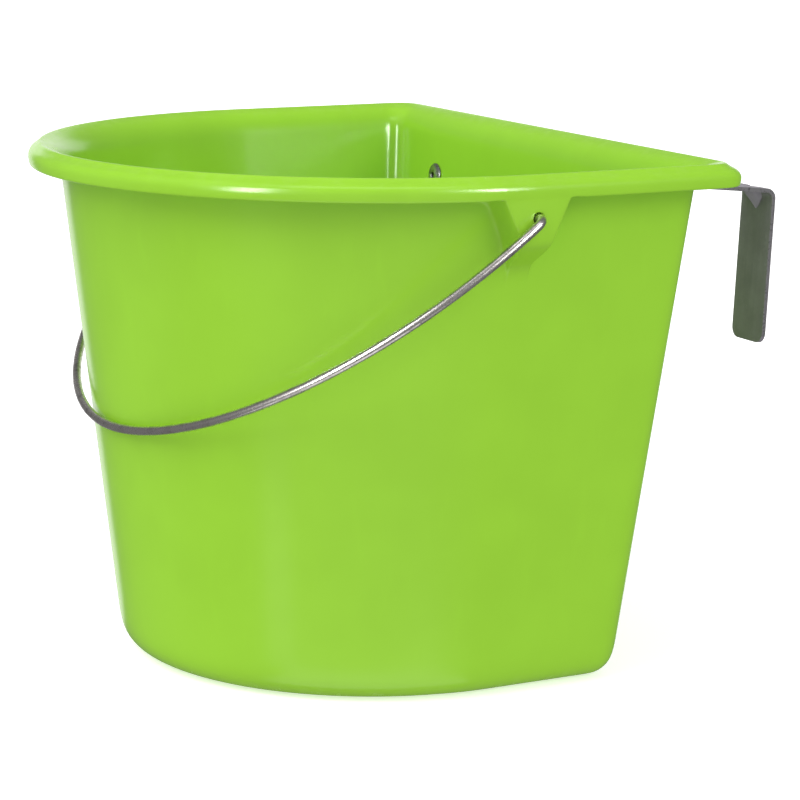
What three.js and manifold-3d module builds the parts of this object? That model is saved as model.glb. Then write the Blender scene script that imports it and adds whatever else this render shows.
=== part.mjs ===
// Hook-on feed bucket: a moulded D-shaped bucket with a rolled rim, a swinging wire bail
// and two riveted steel hooks.
// Millimetres, +Z up. Origin: centre of the underside of the base.
// The curved front faces -Y, the flat back +Y.
import * as THREE from "three";
import { ConvexGeometry } from "three/addons/geometries/ConvexGeometry.js";
import { mergeVertices } from "three/addons/utils/BufferGeometryUtils.js";
import Module from "manifold-3d";

// Bucket body, measured on the outer wall line at the base and at the rim's height.
const HEIGHT = 242;
const WALL = 3;
const BASE = { half: 120.3, front: 125.4, back: 67, centre: -0.5, corner: 13.8 };
const TOP = { half: 150.1, front: 147.8, back: 87.6, centre: -5, corner: 10.5 };
const FRONT_SQUARENESS = 1.98;
const WALL_DRAFT = Math.atan2(TOP.back - BASE.back, HEIGHT);
const BASE_ROUNDING = 13;
const FLOOR_ROUNDING = 10;
const FRONT_STEPS = 44;
const CORNER_STEPS = 5;

// Rolled rim, as distances out from the wall line and heights below the crest.
const CREST_OUT = 8.4;
const RIM_OUT = 14.4;
const RIM_DROP = 10.3;
const RIM_SHELL = 2.6;
const SHOULDER = 4;
const SHOULDER_DROP = 2.3;
const LIP_HEIGHT = 12;

// Bail and the two bosses that carry it.
const WIRE = 2.05;
const PIVOT_Y = -5.2;
const PIVOT_Z = 223.8;
const BAIL_HALF = 168;
const BAIL_REACH = 173.4;
const BAIL_ROUNDNESS = 1.96;
const BAIL_BEND = 4;
const HANG_ANGLE = 51.9;
const BOSS_FACE = 163.2;
const BOSS_HALF = 15.8;
const BOSS_NECK_HALF = 8.2;
const BOSS_FOOT_HALF = 4;
const BOSS_NECK_Z = 215;
const BOSS_FOOT_Z = 201;
const BORE = 2.45;
const BORE_BOTTOM = 150;
const STUB_END = 151.5;

// Hooks: flat steel strap, riveted to the back wall.
const STRAP_WIDTH = 25;
const STRAP = 2;
const HOOK_X = 99.4;
const HOOK_GAP = 62.3;
const BRIDGE_TOP_Z = 229;
const BRIDGE_FALL = 0.86;
const OUTER_SPLAY = 1.94;
const OUTER_LEG = 73;
const INNER_LEG = 59;
const STRAP_BEND = 3;
const STRAP_CORNER = 5;
const DART = { half: 8.5, reach: 7.5, inside: 1, outside: -1.6 };
const RIVET_DROPS = [20, 46];
const FIT = 0.3;

const rad = THREE.MathUtils.degToRad;
const lerp = THREE.MathUtils.lerp;
const wasm = await Module();
wasm.setup();

const materials = {
  plastic: new THREE.MeshStandardMaterial({ color: 0x92cf35, roughness: 0.32, metalness: 0 }),
  wire: new THREE.MeshStandardMaterial({ color: 0xb9b8b6, roughness: 0.22, metalness: 1 }),
  strap: new THREE.MeshStandardMaterial({ color: 0x66666a, roughness: 0.5, metalness: 1 }),
  rivet: new THREE.MeshStandardMaterial({ color: 0x9a9a9e, roughness: 0.4, metalness: 1 }),
  mandrel: new THREE.MeshStandardMaterial({ color: 0x3d3b3a, roughness: 0.6, metalness: 1 }),
};

// A three.js geometry as a solid, and back again.
function solid(geometry) {
  const plain = new THREE.BufferGeometry();
  plain.setAttribute("position", geometry.getAttribute("position").clone());
  plain.setIndex(geometry.getIndex());
  const merged = mergeVertices(plain, 1e-4);
  return new wasm.Manifold(
    new wasm.Mesh({
      numProp: 3,
      vertProperties: merged.attributes.position.array,
      triVerts: new Uint32Array(merged.index.array),
    }),
  );
}

function geometryOf(body) {
  const mesh = body.getMesh();
  const geometry = new THREE.BufferGeometry();
  geometry.setAttribute("position", new THREE.BufferAttribute(mesh.vertProperties, mesh.numProp));
  geometry.setIndex(new THREE.BufferAttribute(mesh.triVerts, 1));
  return geometry;
}

// Closed skin over equal rings of points, with a fan over each end.
function skin(rings) {
  const count = rings[0].length;
  const vertices = rings.flat().flatMap((p) => [p.x, p.y, p.z]);
  const faces = [];
  for (let i = 0; i + 1 < rings.length; i++) {
    for (let j = 0; j < count; j++) {
      const a = i * count + j;
      const b = i * count + ((j + 1) % count);
      faces.push(a, b, b + count, a, b + count, a + count);
    }
  }
  for (const [ring, first] of [[rings[0], 0], [rings.at(-1), (rings.length - 1) * count]]) {
    const middle = ring.reduce((sum, p) => sum.add(p), new THREE.Vector3()).divideScalar(count);
    const hub = vertices.length / 3;
    vertices.push(middle.x, middle.y, middle.z);
    for (let j = 0; j < count; j++) {
      const a = first + j;
      const b = first + ((j + 1) % count);
      faces.push(...(first === 0 ? [hub, b, a] : [hub, a, b]));
    }
  }
  const geometry = new THREE.BufferGeometry();
  geometry.setAttribute("position", new THREE.Float32BufferAttribute(vertices, 3));
  geometry.setIndex(faces);
  return geometry;
}

// The D outline at height z, set out from the wall line: curved front, straight sides, flat back.
function outline(out, z) {
  const at = (key) => lerp(BASE[key], TOP[key], z / HEIGHT);
  const half = at("half") + out;
  const front = at("front") + out;
  const back = at("back") + out;
  const corner = Math.max(at("corner") + Math.min(out, 0), 1);
  const centre = at("centre");
  const power = 2 / FRONT_SQUARENESS;
  const points = [];
  for (let i = 0; i <= FRONT_STEPS; i++) {
    const a = -Math.PI + (Math.PI * i) / FRONT_STEPS;
    const x = half * Math.sign(Math.cos(a)) * Math.abs(Math.cos(a)) ** power;
    points.push(new THREE.Vector3(x, centre - front * Math.abs(Math.sin(a)) ** power, z));
  }
  for (const side of [1, -1]) {
    for (let i = 0; i <= CORNER_STEPS; i++) {
      const a = (side > 0 ? 0 : Math.PI / 2) + (Math.PI / 2) * (i / CORNER_STEPS);
      const x = side * (half - corner) + corner * Math.cos(a);
      points.push(new THREE.Vector3(x, back - corner + corner * Math.sin(a), z));
    }
  }
  return points;
}

// The bucket's section: out and z of each ring, from the underside over the rim to the floor.
function bucketSection() {
  const section = [];
  for (let i = 0; i <= 5; i++) {
    const a = rad(90 * (i / 5));
    section.push([-BASE_ROUNDING * (1 - Math.sin(a)), BASE_ROUNDING * (1 - Math.cos(a))]);
  }
  const under = HEIGHT - RIM_DROP;
  const inner = RIM_OUT - RIM_SHELL;
  section.push([0, under], [0.8, HEIGHT - 5.6], [3.4, HEIGHT - 3.5], [CREST_OUT - 1, HEIGHT - 3.1]);
  section.push([inner - 2, HEIGHT - 4.9], [inner - 0.4, HEIGHT - 7], [inner, under], [RIM_OUT, under]);
  const turn = HEIGHT - SHOULDER_DROP - SHOULDER;
  for (let i = 0; i <= 4; i++) {
    const a = rad(90 * (i / 4));
    section.push([RIM_OUT - SHOULDER * (1 - Math.cos(a)), turn + SHOULDER * Math.sin(a)]);
  }
  section.push([CREST_OUT + 0.9, HEIGHT - 0.5], [CREST_OUT, HEIGHT]);
  for (let i = 1; i <= 5; i++) {
    const a = rad(90 * (i / 5));
    section.push([
      CREST_OUT - (CREST_OUT + WALL) * Math.sin(a),
      HEIGHT - LIP_HEIGHT * (1 - Math.cos(a)),
    ]);
  }
  for (let i = 0; i <= 4; i++) {
    const a = rad(90 * (i / 4));
    section.push([
      -WALL - FLOOR_ROUNDING * (1 - Math.cos(a)),
      WALL + FLOOR_ROUNDING * (1 - Math.sin(a)),
    ]);
  }
  return section;
}

// A boss on the +X side: a wedge under the rim, upright at the pivot and running back to the wall below.
function bossSolid() {
  const wallX = (z) => lerp(BASE.half, TOP.half, z / HEIGHT);
  const turn = HEIGHT - SHOULDER_DROP - SHOULDER;
  const depth = new THREE.Shape();
  depth.moveTo(wallX(236) - 1.2, HEIGHT - 5);
  depth.lineTo(TOP.half + CREST_OUT, HEIGHT - 2);
  depth.lineTo(BOSS_FACE - SHOULDER, turn + SHOULDER - 0.5);
  depth.lineTo(BOSS_FACE - 0.3 * SHOULDER, turn + 0.7 * SHOULDER - 0.5);
  depth.lineTo(BOSS_FACE, turn - 0.5);
  depth.lineTo(BOSS_FACE, PIVOT_Z - 8);
  depth.lineTo(BOSS_FACE - 2.2, PIVOT_Z - 13);
  depth.lineTo(wallX(BOSS_FOOT_Z) - 1.2, BOSS_FOOT_Z);
  depth.closePath();
  const along = new THREE.ExtrudeGeometry(depth, { depth: 60, bevelEnabled: false });
  along.rotateX(Math.PI / 2).translate(0, PIVOT_Y + 30, 0);
  const right = [
    [BOSS_FOOT_HALF, BOSS_FOOT_Z - 1],
    [BOSS_NECK_HALF, BOSS_NECK_Z],
    [BOSS_HALF, HEIGHT - RIM_DROP],
    [BOSS_HALF + 3, HEIGHT],
  ];
  const left = right.map(([y, z]) => [-y, z]).reverse();
  const face = new THREE.Shape([...right, ...left].map(([y, z]) => new THREE.Vector2(y, z)));
  const across = new THREE.ExtrudeGeometry(face, { depth: 60, bevelEnabled: false });
  across.rotateX(Math.PI / 2).rotateZ(Math.PI / 2).translate(130, PIVOT_Y, 0);
  return solid(along).intersect(solid(across));
}

// A round bar along X between two positions.
function barAlongX(radius, from, to, sides) {
  const bar = new THREE.CylinderGeometry(radius, radius, to - from, sides);
  bar.rotateZ(Math.PI / 2).translate((from + to) / 2, PIVOT_Y, PIVOT_Z);
  return solid(bar);
}

function bucketGeometry() {
  let body = solid(skin(bucketSection().map(([out, z]) => outline(out, z))));
  const boss = bossSolid();
  body = body.add(boss).add(boss.mirror([1, 0, 0]));
  for (const side of [1, -1]) {
    const near = side * BORE_BOTTOM;
    const far = side * (BOSS_FACE + 5);
    body = body.subtract(barAlongX(BORE, Math.min(near, far), Math.max(near, far), 24));
    for (const drop of RIVET_DROPS) {
      const hole = new THREE.CylinderGeometry(2.7, 2.7, 12, 20);
      hole.translate(0, -1, 0);
      body = body.subtract(solid(onBackWall(hole, side, drop)));
    }
  }
  return geometryOf(body);
}

// Places a geometry drawn against the back wall, its face at y = 0 and the bridge's top at z = 0.
function onBackWall(geometry, side, drop = 0) {
  const y = lerp(BASE.back, TOP.back, BRIDGE_TOP_Z / HEIGHT);
  geometry.translate(0, 0, -drop);
  geometry.rotateX(-WALL_DRAFT);
  geometry.translate(side * HOOK_X, y, BRIDGE_TOP_Z);
  return geometry;
}

// The wire's centre line in its own plane, u across and v away from the pivot axis.
function bailLine() {
  const half = [];
  half.push([STUB_END, 0], [BAIL_HALF - BAIL_BEND, 0]);
  for (let i = 1; i < 4; i++) {
    const a = rad(90 * (i / 4));
    half.push([BAIL_HALF - BAIL_BEND * (1 - Math.sin(a)), BAIL_BEND * (1 - Math.cos(a))]);
  }
  const power = 2 / BAIL_ROUNDNESS;
  for (let i = 0; i < 26; i++) {
    const a = rad(90 * (i / 26));
    const v = BAIL_BEND + (BAIL_REACH - BAIL_BEND) * Math.sin(a) ** power;
    half.push([BAIL_HALF * Math.cos(a) ** power, v]);
  }
  const other = half.map(([u, v]) => [-u, v]).reverse();
  return [...half, [0, BAIL_REACH], ...other].map(([u, v]) => new THREE.Vector3(u, 0, -v));
}

// A round wire swept along a line that lies in the XZ plane.
function sweep(line, radius, sides) {
  const rings = line.map((p, i) => {
    const before = line[Math.max(i - 1, 0)];
    const after = line[Math.min(i + 1, line.length - 1)];
    const along = after.clone().sub(before).normalize();
    const normal = new THREE.Vector3(-along.z, 0, along.x);
    const ring = [];
    for (let j = 0; j < sides; j++) {
      const a = (2 * Math.PI * j) / sides;
      const out = normal.clone().multiplyScalar(radius * Math.cos(a));
      ring.push(p.clone().add(out).add(new THREE.Vector3(0, -radius * Math.sin(a), 0)));
    }
    return ring;
  });
  return skin(rings);
}

function bailGeometry() {
  const bail = sweep(bailLine(), WIRE, 12);
  bail.rotateX(-rad(HANG_ANGLE));
  bail.translate(0, PIVOT_Y, PIVOT_Z);
  return bail;
}

// The hook's centre line drawn against the wall: y out from the wall face, z up from the bridge's top face.
function hookLine() {
  const mid = STRAP / 2;
  const fall = Math.tan(rad(BRIDGE_FALL));
  const splay = Math.tan(rad(OUTER_SPLAY));
  const far = HOOK_GAP + mid;
  const corners = [
    [FIT + mid, -INNER_LEG],
    [FIT + mid, -mid],
    [far, -mid - far * fall],
    [far + (OUTER_LEG - mid) * splay, -far * fall - OUTER_LEG],
  ].map(([y, z]) => new THREE.Vector2(y, z));
  const line = [corners[0]];
  for (const k of [1, 2]) {
    const before = corners[k - 1].clone().sub(corners[k]).normalize();
    const after = corners[k + 1].clone().sub(corners[k]).normalize();
    const turn = Math.acos(before.dot(after));
    const radius = STRAP_BEND + mid;
    const back = radius / Math.tan(turn / 2);
    const reach = radius / Math.sin(turn / 2);
    const middle = before.clone().add(after).normalize().multiplyScalar(reach);
    const hub = corners[k].clone().add(middle);
    const start = corners[k].clone().addScaledVector(before, back).sub(hub);
    const sweepAngle = -(Math.PI - turn);
    for (let i = 0; i <= 5; i++) {
      line.push(start.clone().rotateAround(new THREE.Vector2(), sweepAngle * (i / 5)).add(hub));
    }
  }
  line.push(corners[3]);
  return line;
}

// The line thickened to the strap, as a closed outline.
function strapShape(line) {
  const side = (sign) =>
    line.map((p, i) => {
      const before = line[Math.max(i - 1, 0)];
      const after = line[Math.min(i + 1, line.length - 1)];
      const along = after.clone().sub(before).normalize();
      const out = new THREE.Vector2(-along.y, along.x).multiplyScalar((sign * STRAP) / 2);
      return p.clone().add(out);
    });
  return new THREE.Shape([...side(1), ...side(-1).reverse()]);
}

// Cutter that rounds one free corner of the strap, thick enough to pass through one leg.
function cornerCutter(side, y, z) {
  const shape = new THREE.Shape();
  shape.moveTo(STRAP_CORNER, 0);
  for (let i = 1; i <= 5; i++) {
    const a = rad(90 * (i / 5));
    shape.lineTo(STRAP_CORNER * (1 - Math.sin(a)), STRAP_CORNER * (1 - Math.cos(a)));
  }
  shape.lineTo(-2, STRAP_CORNER);
  shape.lineTo(-2, -2);
  shape.lineTo(STRAP_CORNER, -2);
  shape.closePath();
  const cutter = new THREE.ExtrudeGeometry(shape, { depth: 12, bevelEnabled: false });
  cutter.rotateX(Math.PI / 2).translate(-STRAP_WIDTH / 2, y + 6, z);
  return side > 0 ? solid(cutter).mirror([1, 0, 0]) : solid(cutter);
}

// The pressed dart in the outer bend: a ridge inside the corner and its hollow outside.
function dartSolid(corner, legDir, bridgeDir, inset) {
  const towards = legDir.clone().add(bridgeDir).normalize();
  const hub = corner.clone().addScaledVector(towards, inset);
  const tip = (dir) => hub.clone().addScaledVector(dir, DART.reach);
  const points = [tip(legDir), tip(bridgeDir)].map((p) => new THREE.Vector3(0, p.x, p.y));
  for (const x of [-DART.half, DART.half]) {
    points.push(new THREE.Vector3(x, hub.x, hub.y));
  }
  return solid(new ConvexGeometry(points));
}

function hookGeometry(side) {
  const line = hookLine();
  const across = { depth: STRAP_WIDTH, bevelEnabled: false };
  const strap = new THREE.ExtrudeGeometry(strapShape(line), across);
  strap.rotateY(Math.PI / 2).rotateX(Math.PI / 2).translate(-STRAP_WIDTH / 2, 0, 0);
  let body = solid(strap);
  for (const edge of [-1, 1]) {
    body = body.subtract(cornerCutter(edge, line[0].x, line[0].y));
    body = body.subtract(cornerCutter(edge, line.at(-1).x, line.at(-1).y));
  }
  const legDir = line.at(-1).clone().sub(line.at(-2)).normalize();
  const bridgeDir = line.at(-8).clone().sub(line.at(-7)).normalize();
  const corner = outerCorner(line);
  body = body.add(dartSolid(corner, legDir, bridgeDir, DART.inside));
  body = body.subtract(dartSolid(corner, legDir, bridgeDir, DART.outside));
  for (const drop of RIVET_DROPS) {
    const hole = new THREE.CylinderGeometry(2.7, 2.7, 12, 20).translate(0, 1, -drop);
    body = body.subtract(solid(hole));
  }
  return onBackWall(geometryOf(body), side);
}

// Where the bridge's and the outer leg's centre lines would meet.
function outerCorner(line) {
  const [a, b] = [line.at(-8), line.at(-7)];
  const [c, d] = [line.at(-2), line.at(-1)];
  const ab = b.clone().sub(a);
  const cd = d.clone().sub(c);
  const t = (c.clone().sub(a).cross(cd)) / ab.cross(cd);
  return a.clone().addScaledVector(ab, t);
}

// Blind rivet drawn along the wall's normal: domed flange inside the bucket, swelled tail behind the strap.
function rivetGeometry(side, drop) {
  const head = -WALL - FIT;
  const tail = FIT + STRAP + FIT;
  const section = [
    [1.5, head - 1.3],
    [2.1, head - 1.8],
    [3.8, head - 1.65],
    [5.4, head - 1.05],
    [6.2, head - 0.4],
    [6.2, head],
    [2.4, head],
    [2.4, tail],
    [3.5, tail],
    [3.9, tail + 0.8],
    [3.6, tail + 2.2],
    [2.6, tail + 3],
    [1.5, tail + 3],
    [1.5, head - 1.3],
  ];
  const points = section.map(([r, y]) => new THREE.Vector2(r, y));
  return onBackWall(new THREE.LatheGeometry(points, 24), side, drop);
}

// The mandrel's stub left inside the rivet, with its head over the tail.
function mandrelGeometry(side, drop) {
  const tail = FIT + STRAP + FIT + 3;
  const section = [
    [0, -WALL - FIT - 0.7],
    [1.2, -WALL - FIT - 0.7],
    [1.2, tail + 0.3],
    [2.3, tail + 0.3],
    [2.5, tail + 1.1],
    [1.9, tail + 2],
    [0, tail + 2.2],
  ];
  const points = section.map(([r, y]) => new THREE.Vector2(r, y));
  return onBackWall(new THREE.LatheGeometry(points, 16), side, drop);
}

const group = new THREE.Group();
group.name = "feed_bucket";
function place(name, geometry, material) {
  const mesh = new THREE.Mesh(geometry, material);
  mesh.name = name;
  group.add(mesh);
}

place("bucket", bucketGeometry(), materials.plastic);
place("bail", bailGeometry(), materials.wire);
for (const [word, side] of [["right", 1], ["left", -1]]) {
  place(`hook_${word}`, hookGeometry(side), materials.strap);
  for (const [level, drop] of [["upper", RIVET_DROPS[0]], ["lower", RIVET_DROPS[1]]]) {
    place(`rivet_${word}_${level}`, rivetGeometry(side, drop), materials.rivet);
    place(`mandrel_${word}_${level}`, mandrelGeometry(side, drop), materials.mandrel);
  }
}

export default group;
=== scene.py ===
"""Studio model of a hook-on feed bucket: moulded shell, swinging wire bail and two riveted steel hooks.

Sizes in the classes are millimetres, and every mesh is written in metres in the frame's own axes: +Z up,
the curved front towards -Y, the flat back towards +Y, and the origin at the middle of the base's underside.
"""
import logging
from dataclasses import dataclass, field
from enum import Enum
from math import acos, atan2, cos, pi, radians, sin, sqrt, tan
from typing import Any, Callable, Iterable, Sequence, Union

import bmesh
import bpy
from mathutils import Euler, Matrix, Vector


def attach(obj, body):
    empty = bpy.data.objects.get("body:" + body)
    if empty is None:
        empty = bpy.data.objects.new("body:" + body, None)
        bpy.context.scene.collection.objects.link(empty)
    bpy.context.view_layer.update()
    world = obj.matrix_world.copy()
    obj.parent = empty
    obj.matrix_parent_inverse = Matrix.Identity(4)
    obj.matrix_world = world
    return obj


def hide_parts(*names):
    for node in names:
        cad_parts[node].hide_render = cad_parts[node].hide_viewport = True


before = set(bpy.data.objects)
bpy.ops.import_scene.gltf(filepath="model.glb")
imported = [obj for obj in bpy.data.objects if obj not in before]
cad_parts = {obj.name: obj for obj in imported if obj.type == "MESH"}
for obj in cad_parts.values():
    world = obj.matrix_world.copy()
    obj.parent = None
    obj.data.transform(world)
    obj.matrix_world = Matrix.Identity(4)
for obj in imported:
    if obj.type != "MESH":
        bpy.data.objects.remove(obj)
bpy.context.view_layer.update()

log = logging.getLogger("feed_bucket")
MM = 0.001
Number = Union[int, float]
Point = tuple[float, float, float]
Stop = tuple[float, float]
EVEN = (1.0, 1.0, 1.0)


def lerp(a: float, b: float, share: float) -> float:
    """Straight mix of two numbers."""
    return a + (b - a) * share


def along_table(value: float, stops: Sequence[Stop]) -> float:
    """Reads a broken line.

    Args:
        value: Where to read it.
        stops: (where, what) pairs in rising order.

    Returns:
        The line's height there, held level past both ends.
    """
    if value <= stops[0][0]:
        return stops[0][1]
    for (x0, y0), (x1, y1) in zip(stops, stops[1:]):
        if value <= x1:
            return lerp(y0, y1, (value - x0) / (x1 - x0))
    return stops[-1][1]


# ------------------------------------------------------------------------------ shader expressions


class Term:
    """One socket of a material, so that shader maths reads as an expression."""

    def __init__(self, graph: "Graph", socket: bpy.types.NodeSocket) -> None:
        """Keeps the socket and the graph it belongs to."""
        self.graph, self.socket = graph, socket

    def _math(self, operation: str, a: "Value", b: "Value" = 0.0) -> "Term":
        """Adds one Math node."""
        return self.graph.node("ShaderNodeMath", {"operation": operation}, {0: a, 1: b})

    def __add__(self, other: "Value") -> "Term":
        """Sum."""
        return self._math("ADD", self, other)

    __radd__ = __add__

    def __sub__(self, other: "Value") -> "Term":
        """Difference."""
        return self._math("SUBTRACT", self, other)

    def __rsub__(self, other: "Value") -> "Term":
        """Difference the other way round."""
        return self._math("SUBTRACT", other, self)

    def __mul__(self, other: "Value") -> "Term":
        """Product."""
        return self._math("MULTIPLY", self, other)

    __rmul__ = __mul__

    def __abs__(self) -> "Term":
        """Size without sign."""
        return self._math("ABSOLUTE", self)

    def least(self, other: "Value") -> "Term":
        """The smaller of two."""
        return self._math("MINIMUM", self, other)

    def step(self, low: float, high: float) -> "Term":
        """Eases from 0 at low to 1 at high."""
        sockets = {"Value": self, "From Min": low, "From Max": high}
        return self.graph.node("ShaderNodeMapRange", {"interpolation_type": "SMOOTHSTEP"}, sockets)


Value = Union[Term, Number, Sequence[float]]


class Graph:
    """A material's node tree, filled through one node-making method."""

    def __init__(self, name: str) -> None:
        """Starts an empty material.

        Args:
            name: The material's name.
        """
        self.material = bpy.data.materials.new(name)
        self.material.use_nodes = True
        self.tree = self.material.node_tree
        self.tree.nodes.clear()

    def node(self, kind: str, settings: dict[str, Any], sockets: dict[Any, Any], output: Any = 0) -> Term:
        """Makes one node.

        Args:
            kind: The node's type.
            settings: Its own properties, set before its sockets.
            sockets: Values or links of its inputs, by name or number.
            output: The output handed back.

        Returns:
            The chosen output as a term.
        """
        made = self.tree.nodes.new(kind)
        for key, value in settings.items():
            setattr(made, key, value)
        for key, value in sockets.items():
            if isinstance(value, Term):
                self.tree.links.new(value.socket, made.inputs[key])
            else:
                made.inputs[key].default_value = value
        return Term(self, made.outputs[output])

    def place(self, scale: Sequence[float]) -> Term:
        """Object coordinates in metres, stretched by a scale along each axis."""
        plain = self.node("ShaderNodeTexCoord", {}, {}, "Object")
        return self.node("ShaderNodeMapping", {}, {"Vector": plain, "Scale": scale})

    def axis(self, letter: str) -> Term:
        """One Object coordinate, X, Y or Z."""
        plain = self.node("ShaderNodeTexCoord", {}, {}, "Object")
        return self.node("ShaderNodeSeparateXYZ", {}, {0: plain}, letter)

    def noise(self, millimetres: float, detail: float, scale: Sequence[float] = EVEN) -> Term:
        """Soft noise, 0 to 1.

        Args:
            millimetres: Size of one blotch.
            detail: Octaves of finer noise.
            scale: Stretch along each axis.

        Returns:
            The noise's height.
        """
        sockets = {"Vector": self.place(scale), "Scale": 1.0 / (millimetres * MM), "Detail": detail}
        return self.node("ShaderNodeTexNoise", {"noise_dimensions": "3D"}, {**sockets, "Roughness": 0.55})

    def cells(self, millimetres: float, scale: Sequence[float] = EVEN) -> Term:
        """Distance to the nearest of scattered points.

        Args:
            millimetres: Spacing of the points.
            scale: Stretch along each axis.

        Returns:
            The distance in cells.
        """
        sockets = {"Vector": self.place(scale), "Scale": 1.0 / (millimetres * MM)}
        return self.node("ShaderNodeTexVoronoi", {}, sockets)

    def blend(self, low: Value, high: Value, share: Value) -> Term:
        """Mixes two colours.

        Args:
            low: Colour where the share is 0.
            high: Colour where the share is 1.
            share: How much of the second.

        Returns:
            The mixed colour.
        """
        return self.node("ShaderNodeMix", {"data_type": "RGBA"}, {0: share, 6: low, 7: high}, 2)

    def bump(self, height: Term, millimetres: float, before: "Term | None" = None) -> Term:
        """Relief from a height.

        Args:
            height: Height, 0 to 1.
            millimetres: How deep the full height is.
            before: A coarser relief under this one.

        Returns:
            The bent normal.
        """
        sockets: dict[Any, Any] = {"Strength": 1.0, "Distance": millimetres * MM, "Height": height}
        if before is not None:
            sockets["Normal"] = before
        return self.node("ShaderNodeBump", {}, sockets)

    def surface(self, fixed: dict[str, Any], varied: dict[str, Any]) -> bpy.types.Material:
        """Closes the material with one Principled shader.

        Args:
            fixed: Sockets that are the same all over.
            varied: Sockets that change over the surface.

        Returns:
            The finished material.
        """
        shader = self.node("ShaderNodeBsdfPrincipled", {}, {**fixed, **varied})
        out = self.tree.nodes.new("ShaderNodeOutputMaterial")
        self.tree.links.new(shader.socket, out.inputs["Surface"])
        return self.material


# ---------------------------------------------------------------------------------------- finishes

Colour = tuple[float, float, float, float]


def shade(colour: Colour, factor: float) -> Colour:
    """A colour made lighter or darker."""
    return (colour[0] * factor, colour[1] * factor, colour[2] * factor, 1.0)


@dataclass(frozen=True)
class LimePlastic:
    """Glossy moulded polypropylene: faint flow mottle, moulding ripple, rubbed rim and fine scuffs."""

    colour: Colour = (0.316, 0.648, 0.036, 1.0)
    rubbed: Colour = (0.42, 0.72, 0.12, 1.0)
    roughness: float = 0.2
    crest: float = 0.242

    def material(self) -> bpy.types.Material:
        """Builds the finish.

        Returns:
            The plastic's material.
        """
        g = Graph("lime_plastic")
        cloud = g.noise(46.0, 2.0)
        grain = g.noise(2.6, 3.0)
        flow = g.noise(9.0, 3.0, (1.0, 1.0, 0.22))
        scratches = g.cells(7.0, (1.0, 1.0, 0.06)).step(0.07, 0.015) * g.noise(21.0, 2.0).step(0.58, 0.7)
        height = g.axis("Z")
        near_crest = height.step(self.crest - 0.006, self.crest - 0.0008)
        near_base = height.step(0.010, 0.0015)
        worn = (near_crest * 0.55 + near_base * 0.8) * g.noise(5.5, 4.0).step(0.44, 0.66)
        pale = g.blend(shade(self.colour, 0.975), shade(self.colour, 1.02), cloud.step(0.3, 0.7))
        streaked = g.blend(pale, shade(self.colour, 1.045), flow.step(0.5, 0.85) * 0.5)
        colour = g.blend(streaked, self.rubbed, (worn * 0.22 + scratches * 0.16).least(1.0))
        rough = cloud * 0.04 + grain * 0.04 + worn * 0.12 + scratches * 0.15 + (self.roughness - 0.04)
        ripple = g.bump(g.noise(34.0, 1.0), 0.03)
        relief = g.bump(grain * 0.7 - scratches * 0.5, 0.003, ripple)
        fixed = {"IOR": 1.49, "Coat Weight": 0.0, "Subsurface Weight": 0.0}
        return g.surface(fixed, {"Base Color": colour, "Roughness": rough, "Normal": relief})


@dataclass(frozen=True)
class DrawnWire:
    """Bright drawn steel wire with a thin zinc wash: blotches, dull patches and pits."""

    bright: Colour = (0.76, 0.72, 0.70, 1.0)
    dull: Colour = (0.15, 0.125, 0.13, 1.0)
    roughness: float = 0.22

    def material(self) -> bpy.types.Material:
        """Builds the finish.

        Returns:
            The wire's material.
        """
        g = Graph("drawn_wire")
        patch = g.noise(7.5, 4.0)
        fleck = g.noise(1.3, 3.0)
        pits = g.cells(2.3).step(0.22, 0.08) * g.noise(11.0, 2.0).step(0.42, 0.6)
        dirty = (patch.step(0.42, 0.72) * 0.45 + fleck.step(0.5, 0.75) * 0.4 + pits * 0.2).least(1.0)
        colour = g.blend(self.bright, self.dull, dirty)
        rough = dirty * 0.2 + fleck * 0.1 + self.roughness
        dents = g.bump(g.noise(3.4, 2.0), 0.05)
        relief = g.bump(fleck * 0.6 - pits * 0.9, 0.02, dents)
        fixed = {"Metallic": 1.0}
        return g.surface(fixed, {"Base Color": colour, "Roughness": rough, "Normal": relief})


@dataclass(frozen=True)
class ZincStrap:
    """Dark zinc-plated strap steel, rolled faces dull and sheared edges bright."""

    # The face colour leans faintly magenta: a painted counter-tint that cancels the green light the bucket
    # bounces onto the strap.
    face: Colour = (0.252, 0.236, 0.27, 1.0)
    edge: Colour = (0.25, 0.245, 0.255, 1.0)
    middle: float = 99.4
    half: float = 12.5
    roughness: float = 0.42

    def material(self) -> bpy.types.Material:
        """Builds the finish.

        Returns:
            The strap's material.
        """
        g = Graph("zinc_strap")
        off = abs(abs(g.axis("X")) - self.middle * MM)
        sheared = off.step((self.half - 0.42) * MM, (self.half - 0.12) * MM)
        cloud = g.noise(13.0, 4.0)
        fleck = g.noise(1.1, 3.0)
        rolled = g.noise(2.2, 3.0, (1.0, 0.07, 0.07))
        rub = g.noise(6.0, 4.0).step(0.58, 0.74) * g.noise(1.8, 2.0).step(0.45, 0.7)
        tone = (cloud * 0.6 + rolled * 0.25 + fleck * 0.15).step(0.3, 0.72)
        plate = g.blend(shade(self.face, 0.86), shade(self.face, 1.16), tone)
        shorn = g.blend(self.edge, shade(self.edge, 0.42), g.noise(1.6, 3.0).step(0.52, 0.75))
        colour = g.blend(g.blend(plate, shade(self.face, 1.6), rub * 0.3), shorn, sheared)
        rough = cloud * 0.14 + fleck * 0.08 - sheared * 0.16 + (self.roughness - 0.08)
        relief = g.bump(fleck * 0.5 + rolled * 0.5, 0.02)
        metal = sheared * 0.35 + 0.2
        varied = {"Base Color": colour, "Roughness": rough, "Metallic": metal, "Normal": relief}
        return g.surface({"Specular IOR Level": 0.3}, varied)


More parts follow.
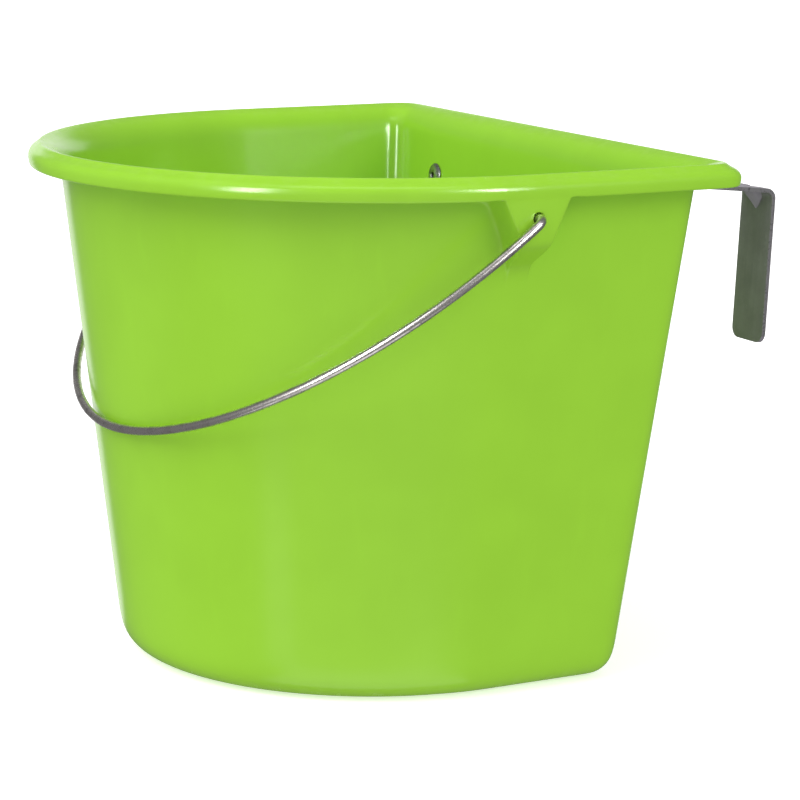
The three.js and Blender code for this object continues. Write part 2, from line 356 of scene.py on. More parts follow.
@dataclass(frozen=True)
class RivetAlloy:
    """Tumbled aluminium of the blind rivets: soft sheen, setting marks and grey bloom."""

    colour: Colour = (0.50, 0.50, 0.51, 1.0)
    bloom: Colour = (0.22, 0.22, 0.225, 1.0)
    roughness: float = 0.3

    def material(self) -> bpy.types.Material:
        """Builds the finish.

        Returns:
            The rivet's material.
        """
        g = Graph("rivet_alloy")
        blotch = g.noise(2.4, 4.0)
        fine = g.noise(0.5, 2.0)
        share = (blotch * 0.75 + fine * 0.25).step(0.42, 0.62)
        colour = g.blend(self.colour, self.bloom, share)
        rough = share * 0.18 + fine * 0.1 + (self.roughness - 0.05)
        relief = g.bump(blotch * 0.7 + fine * 0.3, 0.04)
        return g.surface({"Metallic": 1.0}, {"Base Color": colour, "Roughness": rough, "Normal": relief})


@dataclass(frozen=True)
class SnappedSteel:
    """Dark steel of the rivets' mandrels, torn and dull where it snapped."""

    colour: Colour = (0.045, 0.042, 0.04, 1.0)
    bright: Colour = (0.17, 0.165, 0.16, 1.0)
    roughness: float = 0.52

    def material(self) -> bpy.types.Material:
        """Builds the finish.

        Returns:
            The mandrel's material.
        """
        g = Graph("snapped_steel")
        torn = g.noise(0.45, 4.0)
        colour = g.blend(self.colour, self.bright, torn.step(0.5, 0.72))
        rough = torn * 0.2 + (self.roughness - 0.1)
        fixed = {"Metallic": 1.0}
        return g.surface(fixed, {"Base Color": colour, "Roughness": rough, "Normal": g.bump(torn, 0.12)})


@dataclass(frozen=True)
class StudioFloor:
    """Plain pale matt floor, faintly lit from below like a light table."""

    colour: Colour = (0.9, 0.9, 0.9, 1.0)
    glow: float = 0.5

    def material(self) -> bpy.types.Material:
        """Builds the finish.

        Returns:
            The floor's material.
        """
        g = Graph("studio_floor")
        colour = g.blend(shade(self.colour, 0.99), self.colour, g.noise(300.0, 2.0))
        fixed = {
            "Roughness": 0.9, "Specular IOR Level": 0.1, "Emission Color": (1.0, 1.0, 1.0, 1.0),
            "Emission Strength": self.glow,
        }
        return g.surface(fixed, {"Base Color": colour})


# ------------------------------------------------------------------------------------- mesh making


def mesh_object(name: str, points: Iterable[Point], faces: Iterable[Sequence[int]]) -> bpy.types.Object:
    """Makes a smooth-shaded mesh object at the origin.

    Args:
        name: The object's name.
        points: Corners in millimetres.
        faces: Corner numbers of each face, counter-clockwise from outside.

    Returns:
        The object, linked to the scene.
    """
    mesh = bpy.data.meshes.new(name)
    mesh.from_pydata([[c * MM for c in p] for p in points], [], [list(f) for f in faces])
    mesh.validate()
    mesh.polygons.foreach_set("use_smooth", [True] * len(mesh.polygons))
    made = bpy.data.objects.new(name, mesh)
    bpy.context.scene.collection.objects.link(made)
    return made


def modifier(piece: bpy.types.Object, kind: str, **settings: Any) -> None:
    """Adds a modifier.

    Args:
        piece: The object it goes on.
        kind: The modifier's type.
        settings: Its properties.
    """
    made = piece.modifiers.new(kind.lower(), kind)
    for key, value in settings.items():
        setattr(made, key, value)


def settle(piece: bpy.types.Object, place: Matrix) -> None:
    """Applies a piece's stack and then its place, so that it ends at the origin.

    Args:
        piece: The object.
        place: Its place in the frame, in metres.
    """
    graph = bpy.context.evaluated_depsgraph_get()
    graph.update()
    done = bpy.data.meshes.new_from_object(piece.evaluated_get(graph))
    old = piece.data
    piece.modifiers.clear()
    piece.data = done
    bpy.data.meshes.remove(old)
    done.transform(place)
    done.update()


def dress(piece: bpy.types.Object, finish: bpy.types.Material, body: str, node: str) -> None:
    """Gives a piece its finish and ties it to the frame.

    Args:
        piece: The object.
        finish: Its material.
        body: The body it rides on.
        node: The CAD node it stands for.
    """
    piece.data.materials.clear()
    piece.data.materials.append(finish)
    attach(piece, body)
    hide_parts(node)
    log.info("made %s", piece.name)


# -------------------------------------------------------------------------------------- the bucket


@dataclass(frozen=True)
class Outline:
    """One level of the bucket's D-shaped wall line."""

    half: float
    front: float
    back: float
    centre: float
    corner: float

    def towards(self, other: "Outline", share: float, out: float) -> "Outline":
        """The outline part of the way to another, set out from the wall line.

        Args:
            other: The outline at the far level.
            share: How far towards it.
            out: Distance out from the wall line.

        Returns:
            The outline there.
        """
        return Outline(
            half=lerp(self.half, other.half, share) + out,
            front=lerp(self.front, other.front, share) + out,
            back=lerp(self.back, other.back, share) + out,
            centre=lerp(self.centre, other.centre, share),
            corner=max(lerp(self.corner, other.corner, share) + min(out, 0.0), 1.0),
        )


class Zone(Enum):
    """Which part of the D a column of the cage stands on."""

    FRONT = "curved front"
    BOSS = "side wall at the bail's boss"
    SIDE = "straight side behind the boss"
    CORNER = "back corner"
    BACK = "flat back"


@dataclass(frozen=True)
class Column:
    """One column of the shell's cage.

    Attributes:
        zone: The part of the D.
        at: Angle in degrees, distance in millimetres or share along the zone.
        side: On a boss, -1 for its front flank, 1 for its back flank and 0 between them.
        proud: How far it stands out from the wall towards the boss's face, 0 to 1.
    """

    zone: Zone
    at: float
    side: int = 0
    proud: float = 0.0


@dataclass
class BucketShell:
    """The moulded shell: tapered D-shaped wall, rolled rim and the two bail bosses under it."""

    height: float = 242.0
    wall: float = 3.0
    base: Outline = Outline(120.3, 125.4, 67.0, -0.5, 13.8)
    top: Outline = Outline(150.1, 147.8, 87.6, -5.0, 10.5)
    squareness: float = 1.98
    crest_out: float = 8.4
    rim_out: float = 14.4
    rim_shell: float = 2.6
    rim_drop: float = 10.3
    base_rounding: float = 13.0
    pivot_y: float = -5.2
    pivot_z: float = 223.8
    bore: float = 2.45
    bore_depth: float = 13.0
    hole_reach: float = 4.5
    spread_half: float = 140.0
    full_boss: float = 10.0
    boss_rows: tuple[float, ...] = (189.0, 199.5, 203.5, 208.0, 212.0, 215.5, 218.2)
    flank: tuple[Stop, ...] = (
        (9.0, 0.0), (3.5, 0.0), (1.6, 0.06), (0.9, 0.25), (0.3, 0.85), (0.0, 0.96), (-0.9, 1.0),
    )
    columns: list[Column] = field(default_factory=list)

    def __post_init__(self) -> None:
        """Lays out the columns from the middle of the front to the middle of the back."""
        self.columns = [Column(Zone.FRONT, lerp(90.0, 16.0, i / 11)) for i in range(12)]
        self.columns += [Column(Zone.BOSS, out, -1, proud) for out, proud in self.flank]
        self.columns += [Column(Zone.BOSS, k * self.hole_reach, 0, 1.0) for k in (-1, 0, 1)]
        self.columns += [Column(Zone.BOSS, out, 1, proud) for out, proud in reversed(self.flank)]
        self.columns += [Column(Zone.SIDE, share) for share in (0.3, 0.62, 0.9)]
        self.columns += [Column(Zone.CORNER, 22.5 * i) for i in range(5)]
        self.columns += [Column(Zone.BACK, share) for share in (0.92, 0.6, 0.3, 0.0)]

    @property
    def under(self) -> float:
        """Height of the rim's lower edge."""
        return self.height - self.rim_drop

    def level(self, z: float, out: float) -> Outline:
        """The outline at a height."""
        return self.base.towards(self.top, z / self.height, out)

    def side_x(self, y: float, at: Outline) -> float:
        """The side wall's x at a y: the superellipse in front of the centre, straight behind it."""
        ahead = max(at.centre - y, 0.0) / at.front
        return at.half * (1.0 - ahead**self.squareness) ** (1.0 / self.squareness)

    def boss_half(self, z: float) -> float:
        """Half the boss's width at a height."""
        return along_table(z, ((200.0, 4.6), (215.0, 8.2), (self.under, 15.8)))

    def face_x(self, y: float, z: float) -> float:
        """The boss's outer face: flush with the rim's skirt, then running back to the wall below.

        Args:
            y: Place along the boss.
            z: Height.

        Returns:
            The face's x.
        """
        skirt = self.side_x(y, self.level(self.under, self.rim_out))
        wall = self.side_x(y, self.level(z, 0.0))
        share = along_table(z, ((200.5, 0.0), (203.5, 0.27), (208.0, 0.67), (212.0, 0.94), (216.0, 1.0)))
        return lerp(wall, skirt, share)

    def boss_y(self, column: Column, z: float, at: Outline) -> float:
        """A boss column's y, drawn together where the outline is small.

        Args:
            column: The column.
            z: Height.
            at: The outline at that height.

        Returns:
            The column's y.
        """
        spread = min(1.0, at.half / self.spread_half)
        if column.side == 0:
            reach = column.at * min(1.0, self.boss_half(z) / self.full_boss)
        else:
            reach = column.side * (self.boss_half(z) + column.at)
        return self.pivot_y + spread * reach

    def point(self, column: Column, out: float, z: float) -> Point:
        """A cage corner.

        Args:
            column: The column it is on.
            out: Distance out from the wall line.
            z: Height.

        Returns:
            The corner in millimetres.
        """
        at = self.level(z, out)
        if column.zone is Zone.FRONT:
            a = radians(column.at)
            power = 2.0 / self.squareness
            x = 0.0 if column.at == 90.0 else at.half * cos(a) ** power
            return (x, at.centre - at.front * sin(a) ** power, z)
        if column.zone is Zone.BOSS:
            y = self.boss_y(column, z, at)
            x = self.side_x(y, at)
            if out == 0.0 and z <= self.under and column.proud:
                x = lerp(x, max(self.face_x(y, z), x), column.proud)
            return (x, y, z)
        if column.zone is Zone.SIDE:
            ahead = self.boss_y(Column(Zone.BOSS, self.flank[0][0], 1), z, at)
            y = lerp(ahead, at.back - at.corner, column.at)
            return (self.side_x(y, at), y, z)
        if column.zone is Zone.CORNER:
            a = radians(column.at)
            return (at.half - at.corner * (1.0 - cos(a)), at.back - at.corner * (1.0 - sin(a)), z)
        return (column.at * (at.half - at.corner), at.back, z)

    def wall_rows(self) -> list[Stop]:
        """Rows of the outer wall.

        Returns:
            (out, height) pairs from under the base up to the rim.
        """
        r = self.base_rounding
        rows = [(-50.0, 0.0), (-r - 4.0, 0.0), (-r + 0.4, 0.0), (-0.46 * r, 0.1 * r), (-0.1 * r, 0.46 * r)]
        rows += [(0.0, r - 0.4), (0.0, r + 8.0), (0.0, 60.0), (0.0, 110.0), (0.0, 150.0), (0.0, 177.0)]
        rows += [(0.0, z) for z in self.boss_rows]
        rows += [(0.0, self.pivot_z + k * self.hole_reach) for k in (-1, 0, 1)]
        return rows + [(0.0, self.under)]

    def channel_rows(self) -> list[Stop]:
        """Rows up inside the rolled rim and down behind its skirt."""
        h, inner = self.height, self.rim_out - self.rim_shell
        roof = [(0.0, h - 7.4), (0.6, h - 5.2), (3.0, h - 3.5), (self.crest_out - 1.4, h - 3.0)]
        skirt = [(inner - 1.9, h - 4.8), (inner - 0.3, h - 7.0), (inner, self.under + 0.9)]
        return roof + skirt + [(inner + 0.5, self.under)]

    def rim_rows(self) -> list[Stop]:
        """Rows of the rim and the inside.

        Returns:
            (out, height) pairs from the skirt's lower edge over the crest and down to the floor's middle.
        """
        h, out, crest = self.height, self.rim_out, self.crest_out
        skirt = [(out - 0.35, self.under), (out, self.under + 0.9), (out + 0.03, h - 7.6)]
        roof = [(out - 0.1, h - 5.6), (out - 0.95, h - 3.9), (out - 2.3, h - 2.55), (out - 3.6, h - 1.85)]
        roof += [(crest + 1.3, h - 1.1)]
        crown = [(crest + 0.6, h - 0.35), (crest - 0.2, h + 0.1), (crest - 1.3, h - 0.15)]
        lip = [(5.0, h - 0.85), (1.7, h - 2.3), (-0.8, h - 4.9), (-2.4, h - 8.4), (-2.95, h - 12.0)]
        well = [(-3.0, h - 16.0), (-3.0, 180.0), (-3.0, 120.0), (-3.0, 60.0), (-3.0, 22.0), (-3.0, 12.6)]
        floor = [(-4.2, 7.4), (-7.2, 4.2), (-12.6, 3.0), (-17.0, 3.0), (-50.0, 3.0)]
        return skirt + roof + crown + lip + well + floor

    def cage(self) -> tuple[list[Point], list[list[int]]]:
        """Builds the right-hand half of the shell's cage.

        Returns:
            Corners in millimetres and faces.
        """
        points: list[Point] = []
        faces: list[list[int]] = []
        last = len(self.columns) - 1
        foot = [j for j, c in enumerate(self.columns) if c.zone is Zone.BOSS and c.at == self.flank[1][0]]
        edge = [j for j, c in enumerate(self.columns) if c.zone is Zone.BOSS and c.proud == 1.0]
        front_foot, back_foot, on_face = foot[0], foot[-1], range(edge[0], edge[-1] + 1)

        def row(out: float, z: float, wanted: Callable[[int], bool] = lambda j: True) -> dict[int, int]:
            """Adds one row of corners and returns their numbers by column."""
            numbers = {}
            for j, column in enumerate(self.columns):
                if wanted(j):
                    numbers[j] = len(points)
                    points.append(self.point(column, out, z))
            return numbers

        def band(low: dict[int, int], high: dict[int, int], pairs: Iterable[int]) -> None:
            """Joins two rows over pairs of neighbouring columns."""
            for j in pairs:
                ring = [low[j], low[j + 1], high[j + 1], high[j]]
                faces.append(list(dict.fromkeys(ring)))

        hole = len(self.wall_rows()) - 3
        centre = (edge[0] + edge[-1]) // 2
        wall = [row(out, z) for out, z in self.wall_rows()]
        for i, (low, high) in enumerate(zip(wall, wall[1:])):
            near_hole = i in (hole - 1, hole)
            band(low, high, [j for j in range(last) if not (near_hole and j in (centre - 1, centre))])
        free = [j for j in range(last) if j < front_foot or j >= back_foot]
        channel = [row(out, z, lambda j: j <= front_foot or j >= back_foot) for out, z in self.channel_rows()]
        rim_rows = self.rim_rows()
        skirt = row(*rim_rows[0], lambda j: j not in on_face) | {j: wall[-1][j] for j in on_face}
        roll = [wall[-1], *channel, skirt]
        for low, high in zip(roll, roll[1:]):
            band(low, high, free)
        band(wall[-1], skirt, [*range(front_foot, edge[0]), *range(edge[-1], back_foot)])
        faces.append([r[front_foot] for r in reversed(roll)])
        faces.append([r[back_foot] for r in roll])
        upper = [skirt, *(row(out, z) for out, z in rim_rows[1:])]
        for low, high in zip(upper, upper[1:]):
            band(low, high, range(last))
        faces.append([wall[0][j] for j in range(last, -1, -1)])
        faces.append([upper[-1][j] for j in range(last + 1)])
        self._bore(points, faces, wall, hole, centre)
        return points, faces

    def _bore(
        self, points: list[Point], faces: list[list[int]], wall: list[dict[int, int]], row: int, centre: int
    ) -> None:
        """Opens the bail's hole in the boss's face.

        Args:
            points: The cage's corners, added to.
            faces: The cage's faces, added to.
            wall: The wall's rows.
            row: The row through the hole's middle.
            centre: The column through the hole's middle.
        """
        steps = ((0, 1), (1, 1), (1, 0), (1, -1), (0, -1), (-1, -1), (-1, 0), (-1, 1))
        ring = [wall[row + up][centre + along] for up, along in steps]
        tight = self.bore * 6.0 / (4.0 + 2.0 * cos(pi / 4.0))
        rings = ((3.75, 0.0), (3.05, 0.12), (tight, 0.8), (tight, 6.0), (tight, self.bore_depth))
        for radius, depth in rings:
            following = []
            for k in range(8):
                y = self.pivot_y + radius * cos(k * pi / 4.0)
                z = self.pivot_z + radius * sin(k * pi / 4.0)
                following.append(len(points))
                points.append((self.face_x(self.pivot_y, z) - depth, y, z))
            for k in range(8):
                n = (k + 1) % 8
                faces.append([ring[k], ring[n], following[n], following[k]])
            ring = following
        faces.append(ring)

    def build(self, finish: bpy.types.Material) -> None:
        """Makes the shell, mirrors and smooths it, and dresses it.

        Args:
            finish: The plastic.
        """
        piece = mesh_object("bucket_shell", *self.cage())
        drop_loose(piece)
        modifier(piece, "MIRROR", use_axis=(True, False, False), use_clip=True, merge_threshold=0.00001)
        modifier(piece, "SUBSURF", levels=2, render_levels=2)
        dress(piece, finish, "bucket", "bucket")


def drop_loose(piece: bpy.types.Object) -> None:
    """Removes corners that no face uses.

    Args:
        piece: The object.
    """
    work = bmesh.new()
    work.from_mesh(piece.data)
    bmesh.ops.delete(work, geom=[v for v in work.verts if not v.link_faces], context="VERTS")
    work.to_mesh(piece.data)
    work.free()


# ---------------------------------------------------------------------------------------- the bail


@dataclass
class Bail:
    """The swinging wire: straight stubs in the bosses, tight bends and one wide bow on the front."""

    wire: float = 2.05
    half: float = 168.0
    reach: float = 173.4
    roundness: float = 1.96
    bend: float = 4.0
    stub_end: float = 151.5
    pivot: Point = (0.0, -5.2, 223.8)
    hang: float = 51.9
    bend_steps: int = 8
    bow_steps: int = 56

    def line(self) -> list[Vector]:
        """The wire's centre line at rest.

        Returns:
            Points in millimetres, from one stub's end to the other's.
        """
        half = [(self.stub_end, 0.0), (lerp(self.stub_end, self.half, 0.5), 0.0)]
        for i in range(self.bend_steps):
            a = radians(90.0 * i / self.bend_steps)
            half.append((self.half - self.bend * (1.0 - sin(a)), self.bend * (1.0 - cos(a))))
        power = 2.0 / self.roundness
        for i in range(self.bow_steps):
            a = radians(90.0 * i / self.bow_steps)
            half.append((self.half * cos(a) ** power, self.bend + (self.reach - self.bend) * sin(a) ** power))
        flat = half + [(0.0, self.reach)] + [(-u, v) for u, v in reversed(half)]
        turn = Euler((-radians(self.hang), 0.0, 0.0)).to_matrix()
        return [turn @ Vector((u, 0.0, -v)) + Vector(self.pivot) for u, v in flat]

    def build(self, finish: bpy.types.Material) -> None:
        """Makes the wire as a bevelled curve and dresses it.

        Args:
            finish: The drawn wire.
        """
        curve = bpy.data.curves.new("bail_wire", "CURVE")
        curve.dimensions = "3D"
        curve.bevel_depth = self.wire * MM
        curve.bevel_resolution = 6
        curve.use_fill_caps = True
        line = self.line()
        spline = curve.splines.new("POLY")
        spline.points.add(len(line) - 1)
        for place, point in zip(line, spline.points):
            point.co = (*(place * MM), 1.0)
        spline.use_smooth = True
        piece = bpy.data.objects.new("bail_wire", curve)
        bpy.context.scene.collection.objects.link(piece)
        dress(piece, finish, "bail", "bail")


# --------------------------------------------------------------------------------------- the hooks


class Hand(Enum):
    """Side of the bucket, as the sign of X."""

    RIGHT = 1
    LEFT = -1

    @property
    def word(self) -> str:
        """The side's name in the CAD nodes."""
        return self.name.lower()


@dataclass
class BackWall:
    """The frame against the back wall: y out from the wall's face, z up from the bridge's top face."""

    shell: BucketShell
    bridge_top: float = 229.0
    side: float = 99.4

    def place(self, hand: Hand, drop: float = 0.0) -> Matrix:
        """The frame's place on one side of the bucket.

        Args:
            hand: The side.
            drop: Distance down the wall.

        Returns:
            The matrix in metres.
        """
        lean = atan2(self.shell.top.back - self.shell.base.back, self.shell.height)
        at = self.shell.level(self.bridge_top, 0.0)
        spot = Vector((hand.value * self.side, at.back, self.bridge_top)) * MM
        down = Matrix.Translation((0.0, 0.0, -drop * MM))
        return Matrix.Translation(spot) @ Matrix.Rotation(-lean, 4, "X") @ down


@dataclass
class HookStrap:
    """One hook: strap up the wall, out over a rail and down again, with a pressed dart in the outer bend."""

    width: float = 25.0
    thick: float = 2.0
    fit: float = 0.3
    gap: float = 62.3
    outer_leg: float = 73.0
    inner_leg: float = 59.0
    fall: float = 0.86
    splay: float = 1.94
    inside_bend: float = 3.0
    corner: float = 5.0
    dart_half: float = 6.6
    dart_reach: float = 9.5
    chord_after: float = 2.2
    chord_share: float = 0.92
    edge: float = 0.32

    def corners(self) -> list[Vector]:
        """The centre line's corners before bending.

        Returns:
            Four points as (y, z), from the inner leg's end to the outer leg's.
        """
        mid = self.thick / 2.0
        far = self.gap + mid
        drop = far * tan(radians(self.fall))
        out = (self.outer_leg - mid) * tan(radians(self.splay))
        return [
            Vector((self.fit + mid, -self.inner_leg)),
            Vector((self.fit + mid, -mid)),
            Vector((far, -mid - drop)),
            Vector((far + out, -drop - self.outer_leg)),
        ]

    def half_width(self, from_end: float) -> float:
        """Half the strap's width near a rounded free end."""
        short = max(self.corner - from_end, 0.0)
        return self.width / 2.0 - self.corner + sqrt(self.corner**2 - short**2)

    def bend_rows(
        self, spot: Vector, before: Vector, after: Vector, reach: float, steps: int
    ) -> list[Vector]:
        """Rows round one bend.

        Args:
            spot: The corner before bending.
            before: Direction from the corner back along the strap.
            after: Direction from the corner on along the strap.
            reach: Distance from the corner at which the strap leaves its straight line.
            steps: Rows round the bend.

        Returns:
            Points round the bend: a round bend, or a flat chord where the reach is long.
        """
        turn = acos(max(-1.0, min(1.0, before.dot(after))))
        plain = (self.inside_bend + self.thick / 2.0) / tan(turn / 2.0)
        tangent = max(reach, plain)
        flat = min(1.0, (tangent - plain) / self.chord_after)
        start, end = spot + before * tangent, spot + after * tangent
        radius = tangent * tan(turn / 2.0)
        hub = spot + (before + after).normalized() * (radius / sin(turn / 2.0))
        first = start - hub
        sweep = -(pi - turn)
        rows = []
        for i in range(steps + 1):
            share = i / steps
            a = sweep * share
            arc = hub + Vector((first.x * cos(a) - first.y * sin(a), first.x * sin(a) + first.y * cos(a)))
            rows.append(arc.lerp(start.lerp(end, share), flat * self.chord_share))
        return rows

    def sheet(self) -> tuple[list[Point], list[list[int]]]:
        """The strap's middle sheet.

        Returns:
            Corners in millimetres in the wall's frame, and faces.
        """
        shares = (0.0, 0.12, 0.2, 0.3, 0.4, 0.52, 0.7, 0.94, 1.0)
        across = [-s for s in reversed(shares[1:])] + list(shares)
        a, b, c, d = self.corners()
        steps_from_end = (0.0, 0.25, 0.7, 1.4, 2.4, 3.6, 5.0)
        columns = []
        for share in across:
            x_full = share * self.width / 2.0
            dart = self.dart_reach * (1.0 - abs(x_full) / self.dart_half)
            first, second = (b - a).normalized(), (c - b).normalized()
            third = (d - c).normalized()
            line = [(a + first * s, self.half_width(s)) for s in steps_from_end]
            line += [(a + first * s, self.width / 2.0) for s in (18.0, 38.0, 50.0)]
            line += [(p, self.width / 2.0) for p in self.bend_rows(b, -first, second, 0.0, 8)]
            line += [(b.lerp(c, s), self.width / 2.0) for s in (0.15, 0.4, 0.65, 0.83)]
            line += [(p, self.width / 2.0) for p in self.bend_rows(c, -second, third, dart, 12)]
            line += [(c + third * s, self.width / 2.0) for s in (11.5, 18.0, 40.0)]
            line += [(d - third * s, self.half_width(s)) for s in reversed(steps_from_end)]
            columns.append([(share * half, p.x, p.y) for p, half in line])
        count = len(columns[0])
        points = [p for column in columns for p in column]
        faces = []
        for i in range(len(columns) - 1):
            for k in range(count - 1):
                n = i * count + k
                faces.append([n, n + 1, n + count + 1, n + count])
        return points, faces

    def build(self, wall: BackWall, hand: Hand, finish: bpy.types.Material) -> None:
        """Makes one hook and dresses it.

        Args:
            wall: The back wall's frame.
            hand: The side.
            finish: The strap's steel.
        """
        piece = mesh_object(f"hook_strap_{hand.word}", *self.sheet())
        modifier(piece, "SOLIDIFY", thickness=self.thick * MM, offset=0.0, use_even_offset=False)
        modifier(
            piece, "BEVEL", width=self.edge * MM, segments=3, limit_method="ANGLE", angle_limit=radians(50.0),
            harden_normals=True, use_clamp_overlap=True,
        )
        settle(piece, wall.place(hand))
        dress(piece, finish, "bucket", f"hook_{hand.word}")


# -------------------------------------------------------------------------------------- the rivets


@dataclass
class BlindRivet:
    """A set blind rivet: domed flange inside, swelled tail behind the strap, snapped mandrel in it."""

    wall: float = 3.0
    strap: float = 2.0
    fit: float = 0.3
    flange: float = 6.2
    shank: float = 2.4
    bore: float = 1.5
    drops: tuple[tuple[str, float], ...] = (("upper", 20.0), ("lower", 46.0))
    steps: int = 48

    def body_section(self) -> list[Stop]:
        """The rivet's section.

        Returns:
            (radius, distance out) pairs from its tail to its flange.
        """
        head, tail = -self.wall - self.fit, self.strap + 2.0 * self.fit
        outside = [(self.bore, tail + 2.7), (self.bore + 0.25, tail + 3.0), (2.5, tail + 3.0)]
        outside += [(3.1, tail + 2.75), (3.6, tail + 2.2), (3.85, tail + 1.5), (3.9, tail + 0.8)]
        outside += [(3.75, tail + 0.25), (3.45, tail)]
        shank = [(self.shank, tail), (self.shank, head), (self.flange - 0.2, head)]
        shank += [(self.flange, head - 0.15)]
        dome = [(self.flange, head - 0.4), (self.flange - 0.2, head - 0.62), (5.4, head - 1.05)]
        dome += [(4.6, head - 1.4), (3.8, head - 1.65), (2.9, head - 1.8), (2.1, head - 1.82)]
        dome += [(1.75, head - 1.72), (1.55, head - 1.45), (self.bore, head - 0.9)]
        return outside + shank + dome

    def mandrel_section(self) -> list[Stop]:
        """The mandrel's section.

        Returns:
            (radius, distance out) pairs from its head to its snapped end.
        """
        tail, stub = self.strap + 2.0 * self.fit + 3.0, -self.wall - self.fit - 0.7
        head = [(0.0, tail + 2.2), (0.9, tail + 2.16), (1.6, tail + 2.0), (2.15, tail + 1.65)]
        head += [(2.45, tail + 1.2), (2.5, tail + 0.9), (2.35, tail + 0.45), (2.1, tail + 0.3)]
        neck = [(1.2, tail + 0.3), (1.2, stub + 0.4)]
        snapped = [(1.05, stub + 0.1), (0.8, stub), (0.45, stub + 0.18), (0.0, stub + 0.05)]
        return head + neck + snapped

    def turned(self, name: str, section: Sequence[Stop], closed: bool, place: Matrix) -> bpy.types.Object:
        """Turns a section about the rivet's axis.

        Args:
            name: The piece's name.
            section: (radius, distance out) pairs, from the outer end to the inner.
            closed: Whether the section is a closed loop.
            place: The rivet's place against the wall.

        Returns:
            The turned piece.
        """
        mesh = bpy.data.meshes.new(name)
        count = len(section)
        edges = [(i, i + 1) for i in range(count - 1)] + ([(count - 1, 0)] if closed else [])
        mesh.from_pydata([(r * MM, 0.0, y * MM) for r, y in section], edges, [])
        piece = bpy.data.objects.new(name, mesh)
        bpy.context.scene.collection.objects.link(piece)
        modifier(
            piece, "SCREW", axis="Z", angle=2.0 * pi, steps=self.steps, render_steps=self.steps,
            screw_offset=0.0, use_merge_vertices=True, merge_threshold=0.000002, use_smooth_shade=True,
        )
        settle(piece, place @ Matrix.Rotation(-pi / 2.0, 4, "X"))
        return piece

    def build(self, wall: BackWall, hand: Hand, alloy: bpy.types.Material, steel: bpy.types.Material) -> None:
        """Sets one hook's rivets.

        Args:
            wall: The back wall's frame.
            hand: The side.
            alloy: The rivets' aluminium.
            steel: The mandrels' steel.
        """
        for word, drop in self.drops:
            tag = f"{hand.word}_{word}"
            place = wall.place(hand, drop)
            body = self.turned(f"rivet_body_{tag}", self.body_section(), True, place)
            dress(body, alloy, "bucket", f"rivet_{tag}")
            stub = self.turned(f"mandrel_stub_{tag}", self.mandrel_section(), False, place)
            dress(stub, steel, "bucket", f"mandrel_{tag}")


# -------------------------------------------------------------------------------------- the studio


@dataclass(frozen=True)
class Softbox:
    """One softbox, aimed at the bucket and seen only as a reflection.

    Attributes:
        name: Its name.
        azimuth: Direction from the bucket, degrees, 0 towards -Y and 90 towards +X.
        elevation: Degrees above the floor.
        distance: Metres from the bucket.
        width: Metres across.
        height: Metres tall.
        glow: Brightness of its face, where 1 is paper white.
    """

    name: str
    azimuth: float
    elevation: float
    distance: float
    width: float
    height: float
    glow: float

    def build(self, aim: Vector) -> None:
        """Makes the light.

        Args:
            aim: The point it faces.
        """
        light = bpy.data.lights.new(self.name, "AREA")
        light.shape, light.size, light.size_y = "RECTANGLE", self.width, self.height
        light.energy = self.glow * pi * self.width * self.height
        made = aimed_light(light, self.azimuth, self.elevation, aim, self.distance)
        made.visible_diffuse = False


@dataclass(frozen=True)
class Skylight:
    """One broad, even light from a long way off, too soft to show as a reflection.

    Attributes:
        name: Its name.
        azimuth: Direction from the bucket, degrees, 0 towards -Y and 90 towards +X.
        elevation: Degrees above the floor.
        spread: How wide it is, degrees.
        strength: Light on a face turned to it, watts a square metre.
    """

    name: str
    azimuth: float
    elevation: float
    spread: float
    strength: float

    def build(self, aim: Vector) -> None:
        """Makes the light.

        Args:
            aim: The point it faces.
        """
        light = bpy.data.lights.new(self.name, "SUN")
        light.energy, light.angle = self.strength, radians(self.spread)
        made = aimed_light(light, self.azimuth, self.elevation, aim, 3.0)
        made.visible_glossy = False


def aimed_light(
    light: bpy.types.Light, azimuth: float, elevation: float, aim: Vector, distance: float
) -> bpy.types.Object:
    """Puts a light into the studio, facing a point.

    Args:
        light: The light's data.
        azimuth: Direction from the point, degrees, 0 towards -Y and 90 towards +X.
        elevation: Degrees above the floor.
        aim: The point it faces.
        distance: Metres from the point.

    Returns:
        The light's object.
    """
    a, e = radians(azimuth), radians(elevation)
    back = Vector((sin(a) * cos(e), -cos(a) * cos(e), sin(e)))
    made = bpy.data.objects.new(light.name, light)
    made.location = aim + back * distance
    made.rotation_euler = back.to_track_quat("Z", "Y").to_euler()
    made.visible_camera = False
    bpy.context.scene.collection.objects.link(made)
    return made


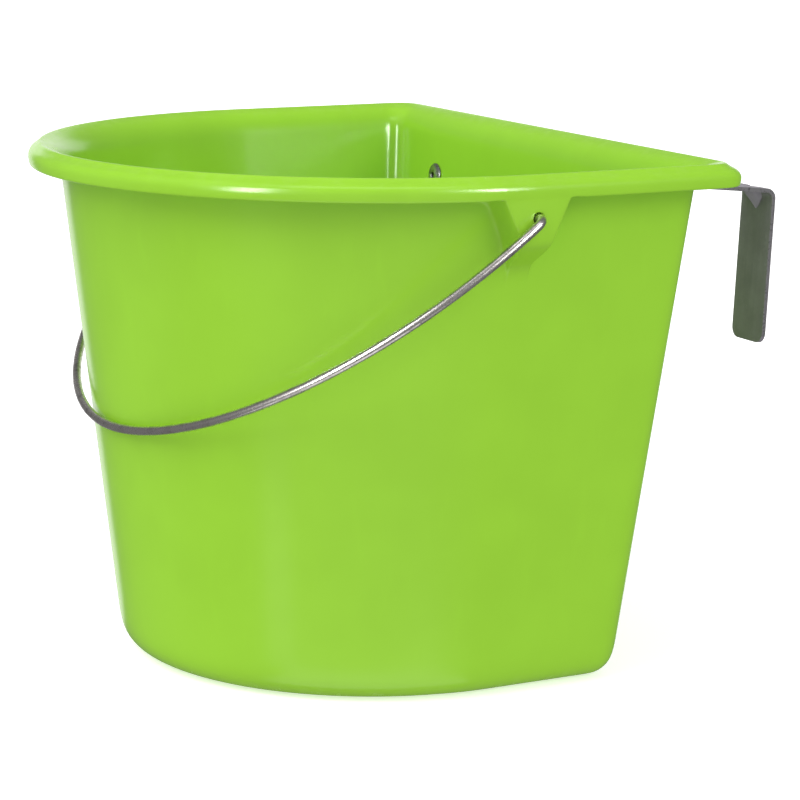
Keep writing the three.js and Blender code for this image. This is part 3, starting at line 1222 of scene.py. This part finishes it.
@dataclass
class Studio:
    """Pale floor, white surroundings, lights and the camera."""

    lens: float = 121.5
    eye: Point = (1.1490, -0.5676, 0.3777)
    azimuth: float = 63.25
    elevation: float = 11.59
    roll: float = 0.31
    fill: float = 0.60
    mirrored: float = 0.17
    floor_reach: float = 6000.0
    floor_level: float = -0.2
    aim: Point = (0.0, 0.0, 0.14)
    skylights: tuple[Skylight, ...] = (
        Skylight("front_sky", -5.0, 48.0, 50.0, 1.50),
        Skylight("left_sky", -36.0, 2.0, 50.0, 0.55),
        Skylight("floor_bounce", 64.0, -20.0, 60.0, 0.48),
        Skylight("side_sky", 104.0, 31.0, 34.0, 0.90),
    )
    softboxes: tuple[Softbox, ...] = (
        Softbox("front_softbox", 25.0, 13.0, 1.5, 0.28, 0.90, 21.0),
        Softbox("side_softbox", 101.0, 20.0, 1.5, 0.36, 0.60, 26.0),
        Softbox("overhead_softbox", 60.0, 60.0, 1.6, 1.20, 0.50, 1.6),
        Softbox("table_glow", 60.0, -55.0, 1.5, 1.60, 1.00, 0.9),
        Softbox("backdrop", -117.0, -2.0, 1.8, 2.20, 1.45, 0.95),
        Softbox("low_glint", 25.0, -29.0, 1.5, 0.26, 0.22, 0.8),
    )

    def build(self, floor_finish: bpy.types.Material) -> None:
        """Sets the whole studio.

        Args:
            floor_finish: The floor's material.
        """
        self.surround()
        bpy.context.scene.view_settings.view_transform = "Standard"
        r, low = self.floor_reach, self.floor_level
        corners = [(-r, -r, low), (r, -r, low), (r, r, low), (-r, r, low)]
        floor = mesh_object("studio_floor", corners, [(0, 1, 2, 3)])
        floor.data.materials.append(floor_finish)
        floor.visible_diffuse = False
        floor.visible_glossy = False
        floor.visible_shadow = False
        for light in (*self.skylights, *self.softboxes):
            light.build(Vector(self.aim))
        self.camera()

    def surround(self) -> None:
        """Makes the white surround: paper white to look at, dimmer as a fill and in reflections."""
        world = bpy.data.worlds.new("white_surround")
        world.use_nodes = True
        tree = world.node_tree
        tree.nodes.clear()
        ray = tree.nodes.new("ShaderNodeLightPath")
        out = tree.nodes.new("ShaderNodeOutputWorld")
        shades = []
        for strength in (self.fill, self.mirrored, 1.0):
            shade_node = tree.nodes.new("ShaderNodeBackground")
            shade_node.inputs["Color"].default_value = (1.0, 1.0, 1.0, 1.0)
            shade_node.inputs["Strength"].default_value = strength
            shades.append(shade_node.outputs[0])
        last = shades[0]
        for flag, other in (("Is Glossy Ray", shades[1]), ("Is Camera Ray", shades[2])):
            mix = tree.nodes.new("ShaderNodeMixShader")
            tree.links.new(ray.outputs[flag], mix.inputs[0])
            tree.links.new(last, mix.inputs[1])
            tree.links.new(other, mix.inputs[2])
            last = mix.outputs[0]
        tree.links.new(last, out.inputs["Surface"])
        bpy.context.scene.world = world

    def camera(self) -> None:
        """Makes the camera, looking at the right front from a little above the rim."""
        a, e, roll = radians(self.azimuth), radians(self.elevation), radians(self.roll)
        back = Vector((sin(a) * cos(e), -cos(a) * cos(e), sin(e)))
        right = Vector((cos(a), sin(a), 0.0))
        up = back.cross(right)
        side = right * cos(roll) + up * sin(roll)
        rise = up * cos(roll) - right * sin(roll)
        data = bpy.data.cameras.new("studio_camera")
        data.lens, data.sensor_width, data.clip_start, data.clip_end = self.lens, 36.0, 0.05, 50.0
        made = bpy.data.objects.new("studio_camera", data)
        turn = Matrix((side, rise, back)).transposed().to_4x4()
        made.matrix_world = Matrix.Translation(self.eye) @ turn
        bpy.context.scene.collection.objects.link(made)
        bpy.context.scene.camera = made


def main() -> None:
    """Builds the bucket piece by piece, then the studio."""
    logging.basicConfig(level=logging.INFO, format="%(message)s")
    shell = BucketShell()
    shell.build(LimePlastic().material())
    Bail().build(DrawnWire().material())
    wall = BackWall(shell)
    strap, alloy, steel = ZincStrap().material(), RivetAlloy().material(), SnappedSteel().material()
    for hand in Hand:
        HookStrap().build(wall, hand, strap)
        BlindRivet().build(wall, hand, alloy, steel)
    Studio().build(StudioFloor().material())


if __name__ == "__main__":
    main()
